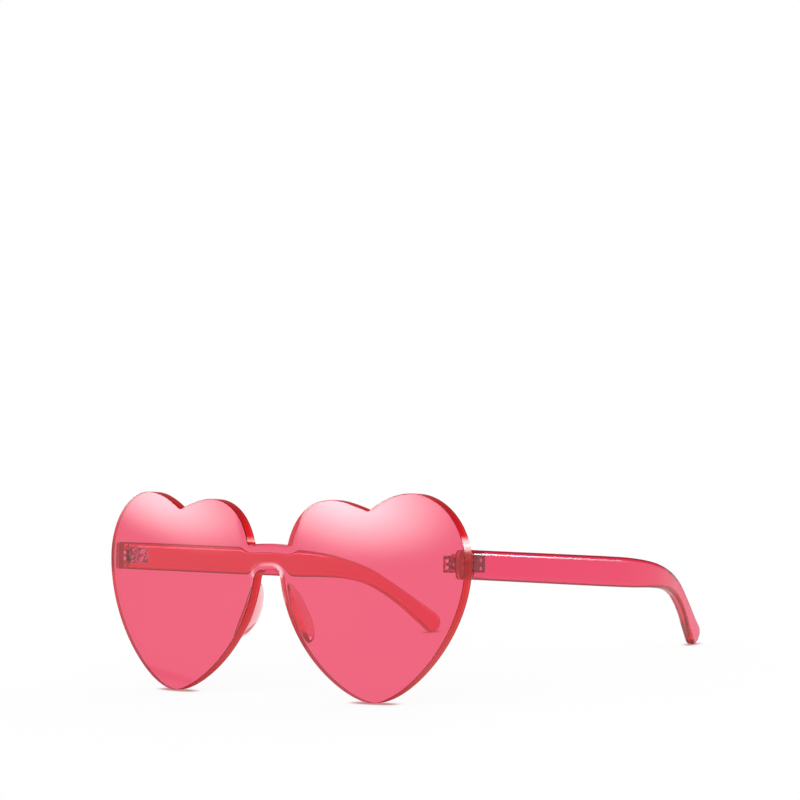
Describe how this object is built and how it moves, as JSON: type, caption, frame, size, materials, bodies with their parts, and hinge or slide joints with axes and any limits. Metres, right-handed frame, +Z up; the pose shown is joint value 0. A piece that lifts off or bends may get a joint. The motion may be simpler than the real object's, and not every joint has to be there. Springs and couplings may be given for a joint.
{
  "type": "heart shaped sunglasses",
  "caption": "Tinted sunglasses whose one-piece curved front is cut as joined hearts, with hinged see-through temples that fold behind it.",
  "frame": {"origin": "on the surface it stands on, under the middle of the box around the opened sunglasses", "axes": "+X to the wearer's left, +Y from the front to the temple tips, +Z up; it stands opened on both heart tips and both temple tips"},
  "size_m": [0.145, 0.1528, 0.0619],
  "materials": {
    "lens_tint": "clear polycarbonate dyed pink-red through its thickness, polished faces and cut edge",
    "arm_tint": "clear moulded polycarbonate dyed magenta-red, glossy",
    "pad_tint": "clear moulded plastic dyed pink-red, glossy",
    "hinge_metal": "nickel-plated stamped and turned metal"
  },
  "bodies": {
    "front": {"lens_front": "lens_tint", "nose_pad_left": "pad_tint", "nose_pad_right": "pad_tint", "endpiece_left": "arm_tint", "endpiece_right": "arm_tint", "front_hinge_leaf_left": "hinge_metal", "front_hinge_leaf_right": "hinge_metal", "front_hinge_pins_left": "hinge_metal", "front_hinge_pins_right": "hinge_metal", "hinge_screw_left": "hinge_metal", "hinge_screw_right": "hinge_metal"},
    "temple_left": {"temple_left": "arm_tint", "temple_hinge_leaf_left": "hinge_metal", "temple_rivets_left": "hinge_metal"},
    "temple_right": {"temple_right": "arm_tint", "temple_hinge_leaf_right": "hinge_metal", "temple_rivets_right": "hinge_metal"}
  },
  "joints": [
    {"name": "temple_left_fold", "type": "hinge", "parent": "front", "child": "temple_left", "pos_m": [0.0655, -0.06331, 0.04081], "axis": [0, 0.0933, 0.9956], "range_deg": [0, 86]},
    {"name": "temple_right_fold", "type": "hinge", "parent": "front", "child": "temple_right", "pos_m": [-0.0655, -0.06331, 0.04081], "axis": [0, -0.0933, -0.9956], "range_deg": [0, 69]}
  ]
}
